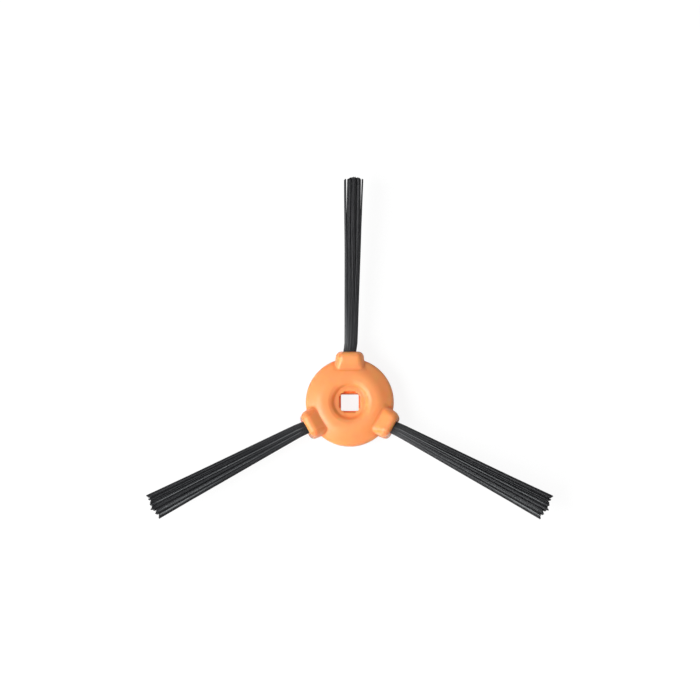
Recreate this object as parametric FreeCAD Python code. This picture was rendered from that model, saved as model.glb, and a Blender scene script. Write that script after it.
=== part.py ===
import FreeCAD, Part
import math
import os

# Side brush of a robot vacuum: a moulded hub with three sockets, and in each socket a tuft of
# folded filaments held by a flat wire anchor.
# Millimetres and degrees. +Z is the domed side, which faces the floor in use. The hub's axis is Z,
# and z = 0 is the end of the drive boss, on which the loose brush rests dome up.

V = FreeCAD.Vector
up = V(0, 0, 1)
tiny = 0.001            # how far an edge may lie from the place it is looked for

# Round body of the hub
body_diameter = 27.8
body_top = 9.5
skirt_foot = 2.0        # height of the skirt's lower edge above the boss end
skirt_wall = 1.8
roof_wall = 1.8
flat_diameter = 15.6    # flat middle of the dome
dome_fall = 26.0        # slope of the ring outside the flat
dome_blend = 6.0        # radius that turns the flat into the slope
rim_chamfer = 0.6       # width of the bevel between the dome and the skirt
rim_fall = 56.0         # its slope
foot_chamfer = 0.4

# Drive boss, its square hole and the pockets that the shaft's spring clips snap into
boss_diameter = 12.0
boss_chamfer = 0.5
drive_square = 5.6
drive_corner = 0.35
lead_in = 0.35
clip_width = 3.8
clip_depth = 0.55
clip_height = 1.2

# Dish round the square hole: a wide bevel, then a steep wall down to a flat floor
dish_diameter = 13.7
dish_depth = 1.5
dish_bevel = 1.05       # width of the bevel
bevel_fall = 22.0
wall_fall = 52.0

# Ribs under the roof, one between each two sockets
rib_wall = 1.2
rib_foot = 3.0          # height of a rib's lower edge above the boss end

# Sockets, tapering to their mouths and rising outwards
arm_count = 3
first_arm = 90.0        # direction of the top arm
mouth_radius = 16.0     # from the hub's axis to the middle of a mouth
mouth_level = 6.4       # height of the middle of a mouth
socket_rise = 5.0
socket_width = 8.45     # at the mouth
socket_crest = 4.5      # highest point above the bore's axis
socket_depth = 4.2      # below the bore's axis
socket_fall = 26.5      # slope of the top down to the dome, from the bore's direction
socket_draft = 6.9      # taper of each side
socket_length = 6.8     # of the tapered block, from the mouth inwards
socket_round = 1.75     # upper edges and corners of the mouth
bore_diameter = 4.4
bore_wall = 1.5         # beside and below the bore, from the block on to the boss
bore_roof = 0.5         # above it, under the dome's slope

# Anchors, each pressed across the foot of a bore with its ends in the walls
anchor_wall = 0.4
anchor_width = 1.6      # along the bore
anchor_bite = 0.6       # how far each end goes into the wall
anchor_depth = 7.6      # from the mouth to the edge that the filaments are folded round
anchor_gap = 0.02

# Filaments, each folded into two legs
filament_sides = 6
filament_flats = 0.58
filament_gap = 0.04
stagger = 60.0          # angle at which a row of filaments lies in the one below
bore_gap = 0.05
fold_chords = 1
free_length = 55.3      # from the mouth to the longest tips
tip_unevenness = 1.5
tip_step = 0.618        # share of the unevenness from one leg's tip to the next
side_spread = 4.25      # half the width of a side tuft at its tips
top_spread = 3.0
depth_spread = 2.7      # half the height of a tuft at its tips
side_lean = 2.35        # bend of both side tufts towards the top one
top_lean = -1.3

body_radius = body_diameter / 2
boss_radius = boss_diameter / 2
flat_radius = flat_diameter / 2
dish_radius = dish_diameter / 2
bore_radius = bore_diameter / 2
tuft_radius = bore_radius - bore_gap
filament_corner = filament_flats / 2 / math.cos(math.pi / filament_sides)    # from its middle to a corner
fold_turn = 180.0 / (fold_chords + 1)
bore_depth = anchor_depth + tuft_radius / math.cos(math.radians(fold_turn / 2)) + bore_gap
roof_level = body_top - roof_wall
arm_step = 360.0 / arm_count

# name, direction, half width at the tips, lean about +Z
arms = [
    ("top", first_arm, top_spread, top_lean),
    ("left", first_arm + arm_step, side_spread, -side_lean),
    ("right", first_arm + 2 * arm_step, side_spread, side_lean),
]


def cos(degrees):
    return math.cos(math.radians(degrees))


def sin(degrees):
    return math.sin(math.radians(degrees))


def tan(degrees):
    return math.tan(math.radians(degrees))


def polyline(*points):
    return [Part.makeLine(a, b) for a, b in zip(points, points[1:])]


def arc(centre, radius, start, finish):
    """Arc in the XZ plane, its angles counted from +X towards +Z."""
    angles = (start, (start + finish) / 2, finish)
    points = [centre + V(cos(a), 0, sin(a)) * radius for a in angles]
    return Part.Arc(*points).toShape()


def turned(edges):
    """Solid of revolution about Z of a closed outline in the XZ plane."""
    return Part.Face(Part.Wire(edges)).revolve(V(0, 0, 0), up, 360)


def centred_box(length, width, height, foot):
    return Part.makeBox(length, width, height, V(-length / 2, -width / 2, foot))


def edges_where(shape, wanted):
    return [edge for edge in shape.Edges if wanted(edge.BoundBox)]


def down_slope(start, run, fall):
    """The point that lies a run further out than another, or further in, and down a slope."""
    return start + V(run, 0, -abs(run) * tan(fall))


def round_body():
    centre = V(flat_radius, 0, body_top - dome_blend)
    foot = centre + V(sin(dome_fall), 0, cos(dome_fall)) * dome_blend
    shoulder = down_slope(foot, body_radius - rim_chamfer - foot.x, dome_fall)
    outline = polyline(V(0, 0, body_top), centre + up * dome_blend)
    outline.append(arc(centre, dome_blend, 90, 90 - dome_fall))
    outline += polyline(
        foot, shoulder, down_slope(shoulder, rim_chamfer, rim_fall),
        V(body_radius, 0, skirt_foot + foot_chamfer), V(body_radius - foot_chamfer, 0, skirt_foot),
        V(0, 0, skirt_foot), V(0, 0, body_top))
    return turned(outline)


def hollow():
    """Room between the boss and the skirt, under a roof of even thickness."""
    inner_radius = body_radius - skirt_wall
    knee = V(flat_radius + (dome_blend - roof_wall) * tan(dome_fall / 2), 0, roof_level)
    outline = polyline(
        V(0, 0, 0), V(0, 0, roof_level), knee, down_slope(knee, inner_radius - knee.x, dome_fall),
        V(inner_radius, 0, 0), V(0, 0, 0))
    return turned(outline).cut(Part.makeCylinder(boss_radius, body_top))


def square_prism(height):
    prism = centred_box(drive_square, drive_square, height, 0)
    upright = edges_where(prism, lambda b: b.ZLength > height / 2)
    return prism.makeFillet(drive_corner, upright)


def boss():
    """Post with the square hole, both its edges at z = 0 chamfered."""
    post = Part.makeCylinder(boss_radius, roof_level + roof_wall / 2).cut(square_prism(body_top))
    outer = edges_where(post, lambda b: b.ZMax < tiny and b.XLength > drive_square + tiny)
    post = post.makeChamfer(boss_chamfer, outer)
    inner = edges_where(post, lambda b: b.ZMax < tiny and b.XLength < drive_square + tiny)
    return post.makeChamfer(lead_in, inner)


def rib(direction):
    reach = body_radius - skirt_wall / 2
    wall = Part.makeBox(reach, rib_wall, body_top - rib_foot, V(0, -rib_wall / 2, rib_foot))
    return wall.rotate(V(0, 0, 0), up, direction)


def dish():
    """Space that the dish takes out of the flat."""
    edge = V(dish_radius, 0, body_top)
    step = down_slope(edge, -dish_bevel, bevel_fall)
    floor = V(0, 0, body_top - dish_depth)
    foot = V(step.x - (step.z - floor.z) / tan(wall_fall), 0, floor.z)
    return turned(polyline(floor, foot, step, edge, edge + up, V(0, 0, body_top) + up, floor))


def clip_pockets():
    span = drive_square + 2 * clip_depth
    foot = body_top - dish_depth - clip_height
    return [
        centred_box(span, clip_width, clip_height + dish_depth, foot),
        centred_box(clip_width, span, clip_height + dish_depth, foot),
    ]


# An arm's pieces are drawn with the mouth's middle at the origin, +X out along the bore and +Z
# upwards, and then set in place.
def set_on_arm(shape, direction):
    shape = shape.copy()
    shape.rotate(V(0, 0, 0), V(0, 1, 0), -socket_rise)
    shape.translate(V(mouth_radius, 0, mouth_level))
    shape.rotate(V(0, 0, 0), up, direction)
    return shape


def socket_block():
    """Tapering block, its top falling towards the hub."""
    root = socket_width / 2 + socket_length * tan(socket_draft)
    mouth = socket_width / 2
    peak = socket_crest + socket_round * (tan(socket_fall) + 1 / cos(socket_fall) - 1)
    end = peak - socket_length * tan(socket_fall)
    plan = polyline(
        V(0, -mouth, -socket_depth), V(0, mouth, -socket_depth), V(-socket_length, root, -socket_depth),
        V(-socket_length, -root, -socket_depth), V(0, -mouth, -socket_depth))
    side = polyline(
        V(0, -root, -socket_depth), V(0, -root, peak), V(-socket_length, -root, end),
        V(-socket_length, -root, -socket_depth), V(0, -root, -socket_depth))
    block = Part.Face(Part.Wire(plan)).extrude(up * (peak + socket_depth))
    block = block.common(Part.Face(Part.Wire(side)).extrude(V(0, 2 * root, 0)))
    rounded = edges_where(block, lambda b: b.ZMax > peak - tiny and b.XMax > -tiny)
    return block.makeFillet(socket_round, rounded)


def bore_housing():
    """Walls round the bore, from inside the block to inside the boss."""
    reach = mouth_radius - boss_radius / 2
    width = bore_diameter + 2 * bore_wall
    height = bore_wall + bore_diameter + bore_roof
    corner = V(-reach, -width / 2, -bore_radius - bore_wall)
    return Part.makeBox(reach - socket_length / 2, width, height, corner)


def bore():
    return Part.makeCylinder(bore_radius, bore_depth, V(0, 0, 0), V(-1, 0, 0))


def anchor(gap=0.0):
    length = anchor_width + 2 * gap
    width = bore_diameter + 2 * (anchor_bite + gap)
    height = anchor_wall + 2 * gap
    return Part.makeBox(length, width, height, V(-anchor_depth - gap, -width / 2, -height / 2))


def hub():
    body = round_body()
    directions = [first_arm + arm_step * i for i in range(arm_count)]
    ribs = [rib(direction + arm_step / 2).common(body) for direction in directions]
    below = Part.makeCylinder(2 * mouth_radius, skirt_foot)
    sockets = [set_on_arm(socket_block(), direction).cut(below) for direction in directions]
    housings = [set_on_arm(bore_housing(), direction).common(body) for direction in directions]
    shape = body.cut(hollow()).fuse([boss()] + ribs + sockets + housings).removeSplitter()
    cutters = [dish(), square_prism(body_top)] + clip_pockets()
    for direction in directions:
        cutters += [set_on_arm(bore(), direction), set_on_arm(anchor(anchor_gap), direction)]
    return shape.cut(cutters)


def ring_along(points):
    """Corners of the rod's section at each point, on the plane that halves the bend there."""
    first = (points[1] - points[0]).normalize()
    across = V(0, 1, 0)
    across = (across - first * across.dot(first)).normalize()
    over = first.cross(across)
    angles = [360 / filament_sides * i for i in range(filament_sides)]
    ring = [points[0] + (over * cos(a) + across * sin(a)) * filament_corner for a in angles]
    rings = [ring]
    for i in range(1, len(points)):
        before = (points[i] - points[i - 1]).normalize()
        after = (points[i + 1] - points[i]).normalize() if i + 1 < len(points) else before
        normal = before + after
        ring = [c + before * ((points[i] - c).dot(normal) / before.dot(normal)) for c in ring]
        rings.append(ring)
    return rings


def rod(points):
    """Rod along the points, mitred at each bend."""
    rings = ring_along(points)
    faces = [rings[0][::-1], rings[-1]]
    for ring, following in zip(rings, rings[1:]):
        for i in range(filament_sides):
            j = (i + 1) % filament_sides
            faces.append([ring[i], ring[j], following[j], following[i]])
    faces = [Part.Face(Part.makePolygon(corners + corners[:1])) for corners in faces]
    return Part.makeSolid(Part.makeShell(faces))


def seats():
    """Side and rise of each fold round the anchor, in staggered rows that fill the bore."""
    pitch = filament_flats + filament_gap
    rise = anchor_wall / 2 + filament_gap + filament_corner
    shift = 0.5
    places = []
    while rise + filament_corner < tuft_radius:
        room = math.sqrt(tuft_radius ** 2 - (rise + filament_corner) ** 2) - filament_flats / 2
        outermost = math.floor(room / pitch - shift) + shift
        count = round(2 * outermost) + 1
        places += [((column - outermost) * pitch, rise) for column in range(count)]
        rise += pitch * sin(stagger)
        shift = 0.5 - shift
    return places


def fold(side, rise):
    """Corners of the chords that wrap a filament round the anchor's inner edge."""
    radius = rise / cos(fold_turn / 2)
    angles = [90 + fold_turn * (i + 0.5) for i in range(fold_chords + 1)]
    return [V(-anchor_depth + radius * cos(a), side, radius * sin(a)) for a in angles]


def tuft(spread, lean):
    places = seats()
    widest = max(abs(side) for side, rise in places)
    lowest = min(rise for side, rise in places)
    highest = max(rise for side, rise in places)
    splay = (spread - filament_flats / 2) / widest
    swell = depth_spread / (highest - lowest / 2)
    filaments = []
    for index, (side, rise) in enumerate(places):
        legs = []
        for half in (1, -1):
            shortfall = (tip_step * (2 * index + len(legs)) % 1.0) * tip_unevenness
            reach = 1 - shortfall / free_length
            foot = V(0, side, half * rise)
            tip = V(free_length, side * splay + free_length * tan(lean), half * (rise - lowest / 2) * swell)
            legs.append([foot + (tip - foot) * reach, foot])
        path = legs[0] + fold(side, rise) + legs[1][::-1]
        filaments.append(rod(path))
    return Part.makeCompound(filaments)


os.makedirs("parts", exist_ok=True)
hub().exportStep("parts/hub.step")
for name, direction, spread, lean in arms:
    set_on_arm(tuft(spread, lean), direction).exportStep("parts/tuft_" + name + ".step")
    set_on_arm(anchor(), direction).exportStep("parts/anchor_" + name + ".step")
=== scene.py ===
import math

import bpy
import numpy as np
from mathutils import Matrix, Vector


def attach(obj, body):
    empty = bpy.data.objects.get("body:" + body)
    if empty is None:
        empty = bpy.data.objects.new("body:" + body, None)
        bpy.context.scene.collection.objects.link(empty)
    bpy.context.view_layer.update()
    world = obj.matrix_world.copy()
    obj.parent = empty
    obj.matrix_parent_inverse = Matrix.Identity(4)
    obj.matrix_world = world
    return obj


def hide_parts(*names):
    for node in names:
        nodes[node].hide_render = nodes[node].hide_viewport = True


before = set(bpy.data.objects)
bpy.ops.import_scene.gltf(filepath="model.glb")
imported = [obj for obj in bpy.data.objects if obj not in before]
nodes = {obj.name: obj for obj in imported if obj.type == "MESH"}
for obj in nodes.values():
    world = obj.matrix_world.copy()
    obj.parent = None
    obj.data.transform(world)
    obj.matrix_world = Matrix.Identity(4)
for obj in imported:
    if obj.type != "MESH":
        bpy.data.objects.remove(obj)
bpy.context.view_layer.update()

mm = 0.001


# Shader maths: a Wire is one output socket, and every operator on it adds a Math node

class Wire:
    def __init__(self, board, socket):
        self.board = board
        self.socket = socket

    def __add__(self, other):
        return self.board.maths("ADD", self, other)

    def __radd__(self, other):
        return self.board.maths("ADD", other, self)

    def __sub__(self, other):
        return self.board.maths("SUBTRACT", self, other)

    def __rsub__(self, other):
        return self.board.maths("SUBTRACT", other, self)

    def __mul__(self, other):
        return self.board.maths("MULTIPLY", self, other)

    def __rmul__(self, other):
        return self.board.maths("MULTIPLY", other, self)

    def __truediv__(self, other):
        return self.board.maths("DIVIDE", self, other)

    def __rtruediv__(self, other):
        return self.board.maths("DIVIDE", other, self)

    def __pow__(self, other):
        return self.board.maths("POWER", self, other)

    def __rpow__(self, other):
        return self.board.maths("POWER", other, self)

    def clamped(self):
        return self.board.node("ShaderNodeClamp", {}, {"Value": self})


class Board:
    # one material and its nodes
    def __init__(self, name):
        self.material = bpy.data.materials.new(name)
        self.material.use_nodes = True
        self.tree = self.material.node_tree
        self.shader = self.tree.nodes["Principled BSDF"]

    def node(self, kind, settings, values, out=0):
        made = self.tree.nodes.new(kind)
        for name, value in settings.items():
            if name == "stops":
                self.setStops(made.color_ramp, value)
            else:
                setattr(made, name, value)
        for name, value in values.items():
            self.feed(made.inputs[name], value)
        return Wire(self, made.outputs[out])

    def setStops(self, ramp, stops):
        while len(ramp.elements) < len(stops):
            ramp.elements.new(1.0)
        for element, (place, shade) in zip(ramp.elements, stops):
            element.position = place
            element.color = shade

    def feed(self, socket, value):
        if isinstance(value, Wire):
            self.tree.links.new(value.socket, socket)
        else:
            socket.default_value = value

    def set(self, values):
        for name, value in values.items():
            self.feed(self.shader.inputs[name], value)

    def maths(self, operation, *values):
        return self.node("ShaderNodeMath", {"operation": operation}, dict(enumerate(values)))

    def place(self):
        return self.node("ShaderNodeTexCoord", {}, {}, "Object")

    def noise(self, scale, detail, where=None):
        # about 0 to 1 over the surface; scale is in waves per metre
        values = {"Vector": where or self.place(), "Scale": scale, "Detail": detail}
        return self.node("ShaderNodeTexNoise", {}, values)

    def mix(self, share, first, second):
        values = {"Factor": share, 6: first, 7: second}
        return self.node("ShaderNodeMix", {"data_type": "RGBA"}, values, 2)

    def bump(self, height, strength, distance, normal=None):
        values = {"Height": height, "Strength": strength, "Distance": distance}
        if normal:
            values["Normal"] = normal
        return self.node("ShaderNodeBump", {}, values)


def colour(red, green, blue):
    return (red, green, blue, 1.0)


def placed(name, data):
    # a new object in the scene
    made = bpy.data.objects.new(name, data)
    bpy.context.scene.collection.objects.link(made)
    return made


def coat(piece, material):
    piece.data.materials.clear()
    piece.data.materials.append(material)


# Hub: glossy moulded plastic

hubFinish = {
    "orange": colour(0.985, 0.337, 0.108),
    "paler": colour(1.0, 0.372, 0.13),
    "paintedRecessShade": colour(1.0, 0.15, 0.03),    # painted shade in recesses, standing in for the light that only gets in there after many bounces
    "recess": 3.0 * mm,                 # how far away a wall still shades a point
    "paintedShadeBegins": 0.9,                  # share of open sky under which the painted shade begins
    "paintedShadeSpan": 0.4,                    # and how much less sky makes it full
    "roughness": 0.36,
    "cloud": 90.0,                      # waves per metre of the slow change of colour
    "cloudRoughness": 0.1,
    "grain": 2600.0,                    # waves per metre of the fine moulded texture
    "grainRoughness": 0.06,
    "grainBump": 0.2,
    "grainDepth": 0.02 * mm,
    "detail": 3.0,
    "softness": 0.9 * mm,               # how far the shading eases over an edge
    "samples": 8,                       # rays for the easing and for the open sky
    "refraction": 1.49,
    "glow": 1.0,                        # share of the light that passes through the plastic
    "glowDepth": 1.5 * mm,              # how far red light gets
    "glowReach": (1.0, 0.2, 0.08),      # how far red, green and blue light get, as shares of that
}

shoulder = {
    "depth": 0.62 * mm,         # how far the shading rounds the sockets' shoulders down
    "crestHalf": 1.9 * mm,      # half the width of a socket's flat crest
    "end": 4.4 * mm,            # from a socket's middle to the foot of its shoulders
    "taper": 0.121,             # how much narrower a socket gets for each unit outward
    "socketHalf": 6.69 * mm,    # half a socket's width, were it carried back to the axis
    "begins": 9.8 * mm,         # from the axis to where the shoulders begin
    "fades": 3.2 * mm,          # from there to where they have their full depth
    "footHalf": 0.4 * mm,       # half the width of the glossy line at a socket's foot
    "polish": 0.24,             # how much glossier the shoulders are, where the brush is handled
    "firstArm": 90.0,           # direction of one socket, in degrees
    "halfTurn": 60.0,           # half of the angle between two sockets
}


def socketShading(board, look):
    # from 0 along the flat crest of each socket to 1 down its sides, where that holds, and a line along its
    # foot: the plan is folded on itself from socket to socket, so that one formula serves all three
    place = board.place()
    x, y = [board.node("ShaderNodeSeparateXYZ", {}, {0: place}, axis) for axis in "XY"]
    half = math.radians(look["halfTurn"])
    direction = board.maths("ARCTAN2", y, x) - math.radians(look["firstArm"])
    turn = board.maths("WRAP", direction, half, -half)
    radius = (x * x + y * y) ** 0.5
    outward = radius * board.maths("COSINE", turn)
    aside = radius * board.maths("ABSOLUTE", board.maths("SINE", turn))
    values = {"Value": aside, "From Min": look["crestHalf"], "From Max": look["end"]}
    fall = board.node("ShaderNodeMapRange", {"interpolation_type": "SMOOTHSTEP"}, values)
    inside = board.maths("LESS_THAN", aside + outward * look["taper"], look["socketHalf"])
    there = inside * ((outward - look["begins"]) / look["fades"]).clamped()
    off = board.maths("ABSOLUTE", outward - look["begins"])
    foot = (1 - fall) * (1 - off / look["footHalf"]).clamped()
    return fall, there, foot


def hubMaterial(look, socket):
    board = Board("hubPlastic")
    cloud = board.noise(look["cloud"], look["detail"])
    fine = board.noise(look["grain"], look["detail"])
    samples = {"samples": look["samples"]}
    eased = board.node("ShaderNodeBevel", samples, {"Radius": look["softness"]})
    sky = board.node("ShaderNodeAmbientOcclusion", samples, {"Distance": look["recess"]}, "AO")
    # painted shade: the colour turns deeper and redder where walls close in round a point
    shade = ((look["paintedShadeBegins"] - sky) / look["paintedShadeSpan"]).clamped()
    fall, there, foot = socketShading(board, socket)
    rounded = board.bump(fall * there * -1.0, 1.0, socket["depth"], eased)
    # glossiest halfway down the shoulders, where 4 brings the product to 1, and along the foot
    rubbed = fall * (1 - fall) * there * 4.0 + foot
    roughness = look["roughness"] + (cloud - 0.5) * look["cloudRoughness"]
    roughness = roughness + (fine - 0.5) * look["grainRoughness"] - rubbed * socket["polish"]
    board.set({
        "Base Color": board.mix(shade, board.mix(cloud, look["orange"], look["paler"]), look["paintedRecessShade"]),
        "Roughness": roughness,
        "Normal": board.bump(fine, look["grainBump"], look["grainDepth"], rounded),
        "IOR": look["refraction"],
        "Subsurface Weight": look["glow"],
        "Subsurface Radius": look["glowReach"],
        "Subsurface Scale": look["glowDepth"],
    })
    return board.material


# Bristle tufts: folded filaments that fan out of each socket. In an arm's own frame the middle of
# the mouth is the origin, +X runs out along the bore and +Z is up.

socketFrame = {
    "mouthRadius": 16.0 * mm,   # from the hub's axis
    "mouthLevel": 6.4 * mm,     # of the bore's middle there
    "rise": 5.0,                # of the bore going outward, in degrees
}

filament = {
    "diameter": 0.26 * mm,
    "pitch": 0.275 * mm,        # between neighbours in the bore
    "boreRadius": 2.15 * mm,
    "anchorHalf": 0.2 * mm,
    "anchorDepth": 7.6 * mm,
    "free": 55.3 * mm,          # from the mouth to the longest tips
    "cutRadius": 71.0 * mm,     # of the round line along which the tips are trimmed
    "tipHalfHeight": 2.4 * mm,
    "groove": 0.4 * mm,         # between two clumps
    "ragged": 0.35 * mm,        # chance difference between neighbouring tips
    "shuffle": 0.12 * mm,       # chance shift of a leg among its neighbours
    "settle": 1.0 * mm,         # about how far from the mouth a tuft has moved to its side of the bore
    "strayShare": 0.06,         # of the legs, on the first clump's side, that stray from the tuft
    "waveAside": 0.07 * mm,
    "bendsAside": (2, 6),       # least and most bend of that wave along a leg, in radians
    "startsAside": (0, 6),      # and where on the wave a leg begins
    "waveUp": 0.12 * mm,
    "bendsUp": (2, 5),
    "stations": 22,             # along the free part of a leg
    "lastStation": 0.998,       # share of the leg at the last station before the tip
    "foldStations": 7,
    "sides": 6,
}

toning = {
    "plain": 0.2,               # tone of a plain filament, from 0 black to 1 pale
    "strands": 40,              # across a tuft, each a little darker or paler than the next
    "strandSpread": 0.1,
    "legSpread": 0.06,
    "gapPaintedShade": 0.25,          # painted shade between two clumps, where the grooves between them lie
    "edgeDarker": 0.25,         # at a tuft's edge, on the last clump's side
    "edgeShare": 0.07,          # of the legs
    "paintedHighlightRamp": 0.35,          # share of the leg over which a painted highlight near the tips comes up
    "tipDarker": 0.35,
    "tipBegins": 0.94,
    "tipRamp": 0.05,
    # painted shadow on the filaments just outside the mouth, and how far out it reaches
    "mouthPaintedShadow": 0.5,
    "mouthShadowDepth": 0.6 * mm,
}


def clump(start, end, longest, cut, notch):
    # part of a tuft that holds together at the tips, in mm: its two edges and its longest point, measured
    # across the arm, and how much shorter it is than the tuft, and than itself at its edges
    sizes = {"start": start, "end": end, "longest": longest, "cut": cut, "notch": notch}
    return {key: value * mm for key, value in sizes.items()}


def paleBandAndPaintedHighlight(place, width, gain, onset=0.0):
    # a paler band of filaments, partly their own tone and partly painted highlight: its middle across the
    # tips and its half width in mm, how pale it is, and how far out it begins
    return {"place": place * mm, "width": width * mm, "gain": gain, "onset": onset}


topTuft = {
    "clumps": [
        clump(-4.15, -3.88, -4.0, 0.4, 0.2),
        clump(-3.4, -2.1, -2.3, 0.1, 0.35),
        clump(-2.1, -0.7, -1.6, 0.0, 0.2),
        clump(-0.7, 0.66, -0.5, 0.2, 0.4),
        clump(1.25, 1.61, 1.4, 0.5, 0.3),
    ],
    "paleBandsAndPaintedHighlights": [paleBandAndPaintedHighlight(-1.15, 0.35, 0.16), paleBandAndPaintedHighlight(-0.1, 0.4, 0.26), paleBandAndPaintedHighlight(1.3, 0.35, 0.3)],
    "parting": 4.0,             # the higher, the nearer to the tips the clumps part
    "fringe": 0.0,              # how far the stray legs stand off
}

sideTuft = {
    "clumps": [
        clump(-6.4, -5.25, -6.2, 0.6, 1.2),
        clump(-5.25, -4.2, -5.1, 0.8, 0.7),
        clump(-4.2, -2.7, -3.3, 0.5, 0.5),
        clump(-2.7, -1.0, -1.9, 0.0, 1.2),
        clump(-1.0, 0.35, 0.0, 0.6, 1.0),
        clump(0.35, 1.8, 1.6, 0.9, 0.8),
    ],
    "paleBandsAndPaintedHighlights": [
        paleBandAndPaintedHighlight(-2.9, 0.6, 0.3),
        paleBandAndPaintedHighlight(-1.35, 0.25, 0.26),
        paleBandAndPaintedHighlight(-0.3, 0.25, 0.34),
        paleBandAndPaintedHighlight(0.95, 0.24, 0.2),
        # painted highlight along the lower edge, near the tips
        paleBandAndPaintedHighlight(0.95, 0.24, 0.6, 0.5),
    ],
    "parting": 6.0,
    "fringe": 0.2 * mm,
}

# hand -1 mirrors the tuft; shift and lean move it aside near the mouth and at the tips
tufts = {
    "top": {
        "direction": 90.0, "hand": 1, "shape": topTuft, "shift": -0.35 * mm, "lean": 0.0, "seed": 3,
    },
    "left": {
        "direction": 210.0, "hand": 1, "shape": sideTuft, "shift": -0.2 * mm, "lean": 0.18 * mm, "seed": 11,
    },
    "right": {
        "direction": 330.0, "hand": -1, "shape": sideTuft, "shift": -0.1 * mm, "lean": 0.36 * mm, "seed": 11,
    },
}


def armMatrix(direction):
    # from the arm's own frame to the brush's
    turn = Matrix.Rotation(math.radians(direction), 4, "Z")
    shift = Matrix.Translation((socketFrame["mouthRadius"], 0, socketFrame["mouthLevel"]))
    tilt = Matrix.Rotation(math.radians(-socketFrame["rise"]), 4, "Y")
    return turn @ shift @ tilt


def seatGrid(shape):
    # staggered rows above the anchor, kept where they fit in the bore
    radius = shape["boreRadius"] - shape["diameter"] / 2
    pitch = shape["pitch"]
    rowPitch = pitch * math.sin(math.radians(60))
    most = math.ceil(radius / rowPitch)
    columns, rows = np.meshgrid(np.arange(-most, most + 1), np.arange(0, most + 1))
    side = (columns + 0.5 * (rows % 2)) * pitch
    rise = shape["anchorHalf"] + shape["diameter"] / 2 + rows * rowPitch
    inside = np.hypot(side, rise) <= radius
    return side[inside], rise[inside]


def spreadLegs(shape, look, side, chance):
    # for each leg its place among the others (share) and in its clump (phase), both 0 to 1, where its tip
    # comes in the clumps and in an even fan, and how much it is cut
    clumps = {key: np.array([part[key] for part in look["clumps"]]) for key in look["clumps"][0]}
    starts, ends = clumps["start"], clumps["end"]
    # the legs keep their order from side to side and share the clumps' width evenly
    rank = np.argsort(np.argsort(side + chance.normal(0, shape["shuffle"], len(side))))
    share = (rank + 0.5) / len(side)
    cover = np.concatenate([[0.0], np.cumsum(ends - starts)])
    cover /= cover[-1]
    group = np.searchsorted(cover[1:-1], share, side="right")
    phase = (share - cover[group]) / (cover[group + 1] - cover[group])
    tipSide = starts[group] + phase * (ends - starts)[group]
    evenSide = starts[0] + share * (ends[-1] - starts[0])
    longest = clumps["longest"][group]
    widest = np.maximum(longest - starts[group], ends[group] - longest)
    cut = clumps["cut"][group] + clumps["notch"][group] * np.abs(tipSide - longest) / widest
    cut += tipSide ** 2 / (2 * shape["cutRadius"]) + chance.uniform(0, 1, len(side)) * shape["ragged"]
    return share, phase, tipSide, evenSide, cut


def legTones(look, paleBandsAndPaintedHighlights, share, phase, tipSide, along, reach, chance):
    # dark, with pale bands that are partly painted highlight, painted shade between clumps and in the mouth,
    # and darker at one edge and at the very tips
    strands = chance.normal(0, look["strandSpread"], look["strands"])
    plain = look["plain"] + strands[(share * (look["strands"] - 1)).astype(int)]
    plain += chance.normal(0, look["legSpread"], len(share))
    # painted shade in the grooves between clumps
    plain -= look["gapPaintedShade"] * np.abs(2 * phase - 1) ** 5
    plain -= look["edgeDarker"] * np.exp(-((1 - share) / look["edgeShare"]) ** 2)
    tone = np.repeat(plain[:, None], reach.shape[1], axis=1)
    # pale bands, partly the strands' own tone and partly painted highlight
    for band in paleBandsAndPaintedHighlights:
        strength = band["gain"] * np.exp(-((tipSide - band["place"]) / band["width"]) ** 2)
        # a band without an onset is there from the mouth on
        risen = (reach - band["onset"]) / look["paintedHighlightRamp"] + (band["onset"] == 0)
        tone += strength[:, None] * np.clip(risen, 0, 1)
    tone -= look["tipDarker"] * np.clip((reach - look["tipBegins"]) / look["tipRamp"], 0, 1)
    # painted shadow of the mouth on the filaments' roots
    tone -= look["mouthPaintedShadow"] * np.exp(-(along / look["mouthShadowDepth"]) ** 2)
    return tone


def legPaths(shape, tuft, side, rise, chance):
    # points (leg, station, xyz) from the mouth to the tip, and the tone at each
    look = tuft["shape"]
    share, phase, tipSide, evenSide, cut = spreadLegs(shape, look, side, chance)
    each = (len(side), 1)
    # the last two stations stand close together, so that the cut end doesn't tilt the shading before it
    t = np.sort(np.append(np.linspace(0, 1, shape["stations"] - 1), shape["lastStation"]))[None, :]
    along = t * (shape["free"] - cut)[:, None]
    reach = along / shape["free"]
    # across: a straight fan, with the gaps between clumps only near the tips
    across = side[:, None] + (evenSide - side)[:, None] * reach
    across += (tipSide - evenSide)[:, None] * reach ** look["parting"]
    across += tuft["shift"] * (1 - np.exp(-along / shape["settle"])) * (1 - reach) + tuft["lean"] * reach
    across -= look["fringe"] * np.clip(1 - share / shape["strayShare"], 0, 1)[:, None] * reach ** 3
    wave = chance.normal(0, shape["waveAside"], each)
    bend = reach * chance.uniform(*shape["bendsAside"], each)
    across += wave * reach * np.sin(bend + chance.uniform(*shape["startsAside"], each))
    # up: the bundle opens, and sinks a little between two clumps
    sunk = shape["groove"] * np.abs(2 * phase - 1) ** 4
    tipRise = rise / np.abs(rise).max() * shape["tipHalfHeight"] - np.sign(rise) * sunk
    wave = chance.normal(0, shape["waveUp"], each)
    up = rise[:, None] + (tipRise - rise)[:, None] * reach
    up += wave * reach * np.sin(reach * chance.uniform(*shape["bendsUp"], each))
    tone = legTones(toning, look["paleBandsAndPaintedHighlights"], share, phase, tipSide, along, reach, chance)
    return np.stack([along, across, up], axis=-1), tone


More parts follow.
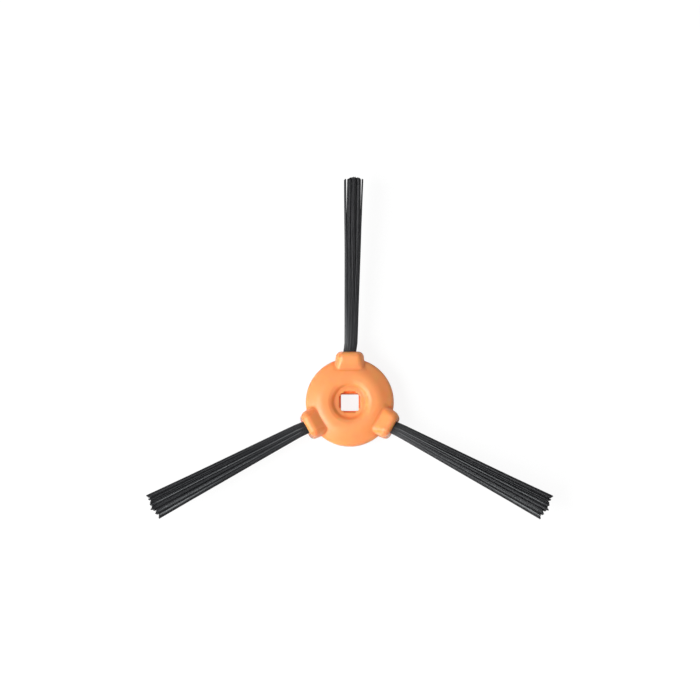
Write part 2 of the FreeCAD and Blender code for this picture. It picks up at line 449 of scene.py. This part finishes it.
def foldPaths(shape, side, rise):
    # half circles round the anchor's inner edge, from above it to below it
    angle = np.linspace(math.pi / 2, 3 * math.pi / 2, shape["foldStations"])[None, :]
    x = -shape["anchorDepth"] + rise[:, None] * np.cos(angle)
    z = rise[:, None] * np.sin(angle)
    y = np.repeat(side[:, None], shape["foldStations"], axis=1)
    return np.stack([x, y, z], axis=-1)


def tubeMesh(name, paths, radius, sides, marks):
    # a round tube along each path (tube, station, xyz), its ends closed by a point: round every station
    # the ring's points lie on a circle square to the path, over * cos(angle) + across * sin(angle)
    count, stations = paths.shape[:2]
    tangent = np.gradient(paths, axis=1)
    tangent /= np.linalg.norm(tangent, axis=2, keepdims=True)
    across = np.array([0.0, 1.0, 0.0]) - tangent * tangent[..., 1:2]
    across /= np.linalg.norm(across, axis=2, keepdims=True)
    over = np.cross(tangent, across)
    angle = np.arange(sides) * 2 * math.pi / sides
    ring = over[:, :, None] * np.cos(angle)[:, None] + across[:, :, None] * np.sin(angle)[:, None]
    body = (paths[:, :, None] + ring * radius).reshape(-1, 3)
    tips = paths[:, [0, -1]].reshape(-1, 3)
    index = np.arange(count * stations * sides).reshape(count, stations, sides)
    turned = np.roll(index, -1, axis=2)
    quads = [index[:, :-1], turned[:, :-1], turned[:, 1:], index[:, 1:]]
    quads = np.stack(quads, axis=-1).reshape(-1, 4).tolist()
    tip = len(body) + np.repeat(np.arange(count * 2), sides).reshape(count, 2, sides)
    first = np.stack([turned[:, 0], index[:, 0], tip[:, 0]], axis=-1).reshape(-1, 3).tolist()
    last = np.stack([index[:, -1], turned[:, -1], tip[:, 1]], axis=-1).reshape(-1, 3).tolist()
    mesh = bpy.data.meshes.new(name)
    mesh.from_pydata(np.concatenate([body, tips]).tolist(), [], quads + first + last)
    mesh.polygons.foreach_set("use_smooth", np.arange(len(mesh.polygons)) < len(quads))
    for key, values in marks.items():
        spread = np.repeat(values[:, :, None], sides, axis=2).reshape(-1)
        ends = values[:, [0, -1]].reshape(-1)
        layer = mesh.attributes.new(key, "FLOAT", "POINT")
        layer.data.foreach_set("value", np.concatenate([spread, ends]).astype(np.float32))
    mesh.update()
    return mesh


def makeTuft(name, shape, tuft, material):
    chance = np.random.default_rng(tuft["seed"])
    side, rise = seatGrid(shape)
    upper, upperTone = legPaths(shape, tuft, side, rise, chance)
    lower, lowerTone = legPaths(shape, tuft, side, -rise, chance)
    fold = foldPaths(shape, side, rise)
    foldTone = np.repeat(upperTone[:, :1], shape["foldStations"], axis=1)
    paths = np.concatenate([upper[:, ::-1], fold, lower], axis=1) * np.array([1, tuft["hand"], 1])
    tone = np.clip(np.concatenate([upperTone[:, ::-1], foldTone, lowerTone], axis=1), 0, 1)
    marks = {"tone": tone, "along": np.clip(paths[..., 0] / shape["free"], 0, 1)}
    mesh = tubeMesh("bristles_" + name, paths, shape["diameter"] / 2, shape["sides"], marks)
    mesh.transform(armMatrix(tuft["direction"]))
    piece = placed("bristles_" + name, mesh)
    coat(piece, material)
    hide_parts("tuft_" + name)
    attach(piece, "root")
    print("tuft", name, len(side), "folded filaments", len(mesh.polygons), "faces")


bristleFinish = {
    "tones": [
        (0.0, colour(0.008, 0.008, 0.010)),
        (0.5, colour(0.036, 0.038, 0.042)),
        (1.0, colour(0.22, 0.23, 0.235)),
    ],
    "lengthwise": 14.0,         # how often the streaks change along the free length
    "crosswise": 9.0,           # and over the whole range of tones
    "detail": 2.0,
    "streak": 0.25,             # how much they change the tone
    "rootPaler": 0.15,          # in the tone, near the mouth
    "roughness": 0.4,
    "streakRoughness": 0.2,
    "streakBump": 0.1,
    "streakDepth": 0.01 * mm,
    "refraction": 1.53,
}


def bristleMaterial(look):
    board = Board("bristleNylon")
    tone = board.node("ShaderNodeAttribute", {"attribute_name": "tone"}, {}, "Fac")
    along = board.node("ShaderNodeAttribute", {"attribute_name": "along"}, {}, "Fac")
    # the pattern follows each filament: slow along it, quick from one filament to the next
    values = {"X": along * look["lengthwise"], "Y": tone * look["crosswise"]}
    streak = board.noise(1.0, look["detail"], board.node("ShaderNodeCombineXYZ", {}, values))
    share = tone + (streak - 0.5) * look["streak"] + (1 - along) ** 8 * look["rootPaler"]
    board.set({
        "Base Color": board.node("ShaderNodeValToRGB", {"stops": look["tones"]}, {"Fac": share.clamped()}),
        "Roughness": look["roughness"] + (streak - 0.5) * look["streakRoughness"],
        "Normal": board.bump(streak, look["streakBump"], look["streakDepth"]),
        "IOR": look["refraction"],
    })
    return board.material


# Anchors: flat drawn wire

anchorFinish = {
    "bright": colour(0.62, 0.61, 0.58),
    "dull": colour(0.42, 0.41, 0.39),
    "grain": 5000.0,            # waves per metre
    "detail": 4.0,
    "roughness": 0.25,
    "grainRoughness": 0.25,
    "grainBump": 0.3,
    "grainDepth": 0.01 * mm,
}


def anchorMaterial(look):
    board = Board("anchorSteel")
    grain = board.noise(look["grain"], look["detail"])
    board.set({
        "Base Color": board.mix(grain, look["dull"], look["bright"]),
        "Metallic": 1.0,
        "Roughness": look["roughness"] + grain * look["grainRoughness"],
        "Normal": board.bump(grain, look["grainBump"], look["grainDepth"]),
    })
    return board.material


# Stage: white floor that keeps the shadow

stage = {
    "size": 4.0,
    "white": colour(0.14, 0.14, 0.14),      # as the camera sees it, with the lift
    "pale": colour(0.6, 0.6, 0.6),          # as it lights the object from below
    "lift": 0.88,                           # seen by the camera only, so that the floor shows white
    "roughness": 0.9,
}


def makeFloor(look):
    half = look["size"] / 2
    corners = [(-half, -half, 0), (half, -half, 0), (half, half, 0), (-half, half, 0)]
    mesh = bpy.data.meshes.new("floor")
    mesh.from_pydata(corners, [], [(0, 1, 2, 3)])
    board = Board("floorWhite")
    seen = board.node("ShaderNodeLightPath", {}, {}, "Is Camera Ray")
    board.set({
        "Base Color": board.mix(seen, look["pale"], look["white"]),
        "Roughness": look["roughness"],
        "Specular IOR Level": 0.0,
        "Emission Color": board.mix(seen * look["lift"], colour(0, 0, 0), colour(1, 1, 1)),
        "Emission Strength": 1.0,
    })
    floor = placed("floor", mesh)
    coat(floor, board.material)
    print("floor", look["size"], "m wide")


# Light and camera

# turn and height in degrees, lengths in metres, power in watts
lamps = {
    "key": {"turn": 198.0, "height": 53.0, "distance": 0.7, "wide": 0.6, "tall": 0.3, "power": 4.0},
    "side": {"turn": 210.0, "height": 26.0, "distance": 0.7, "wide": 0.62, "tall": 0.15, "power": 2.8},
    "fill": {"turn": 60.0, "height": 80.0, "distance": 1.0, "wide": 0.9, "tall": 0.9, "power": 0.8},
}
lampTarget = (0, 0, 8 * mm)
worldLight = 0.36


def aimed(position, target):
    return (Vector(target) - Vector(position)).to_track_quat("-Z", "Y").to_euler()


def makeLamps():
    middle = Vector(lampTarget)
    for name, lamp in lamps.items():
        light = bpy.data.lights.new(name, "AREA")
        light.shape = "RECTANGLE"
        light.size = lamp["wide"]
        light.size_y = lamp["tall"]
        light.energy = lamp["power"]
        turn, height = math.radians(lamp["turn"]), math.radians(lamp["height"])
        flat = math.cos(height)
        way = Vector((math.cos(turn) * flat, math.sin(turn) * flat, math.sin(height)))
        holder = placed(name, light)
        holder.location = middle + way * lamp["distance"]
        holder.rotation_euler = aimed(holder.location, middle)
    world = bpy.data.worlds.new("room")
    world.use_nodes = True
    world.node_tree.nodes["Background"].inputs["Color"].default_value = colour(1, 1, 1)
    world.node_tree.nodes["Background"].inputs["Strength"].default_value = worldLight
    bpy.context.scene.world = world
    print("lamps", len(lamps))


view = {
    "hubPixel": (349.8, 402.0),     # where the photo has the hub's axis
    "pixelsPerMetre": 3165.0,       # at the height of the dome's rim
    "pixels": 700,                  # the picture's width and height
    "distance": 0.8,
    "tilt": 3.45,                   # how far the line of sight at the hub leans from straight down
    "level": 7.6 * mm,
    "sensor": 36.0,
    "clipStart": 0.05,
}


def makeCamera(shape):
    centre = shape["pixels"] / 2
    right = (centre - shape["hubPixel"][0]) / shape["pixelsPerMetre"]
    ahead = (shape["hubPixel"][1] - centre) / shape["pixelsPerMetre"]
    tilt = math.radians(shape["tilt"])
    back = -math.sin(tilt) * shape["distance"]
    target = Vector((right, ahead, shape["level"]))
    position = Vector((right, back, shape["level"] + math.cos(tilt) * shape["distance"]))
    away = (position - target).length
    camera = bpy.data.cameras.new("camera")
    camera.sensor_width = shape["sensor"]
    camera.lens = shape["sensor"] * shape["pixelsPerMetre"] * away / shape["pixels"]
    camera.clip_start = shape["clipStart"]
    holder = placed("camera", camera)
    holder.location = position
    holder.rotation_euler = aimed(position, target)
    bpy.context.scene.camera = holder
    print("camera", camera.lens)


orange = hubMaterial(hubFinish, shoulder)
nylon = bristleMaterial(bristleFinish)
steel = anchorMaterial(anchorFinish)
print("materials", orange.name, nylon.name, steel.name)
coat(nodes["hub"], orange)
for side in tufts:
    coat(nodes["anchor_" + side], steel)
    makeTuft(side, filament, tufts[side], nylon)
makeFloor(stage)
makeLamps()
makeCamera(view)
bpy.context.scene.view_settings.view_transform = "Standard"
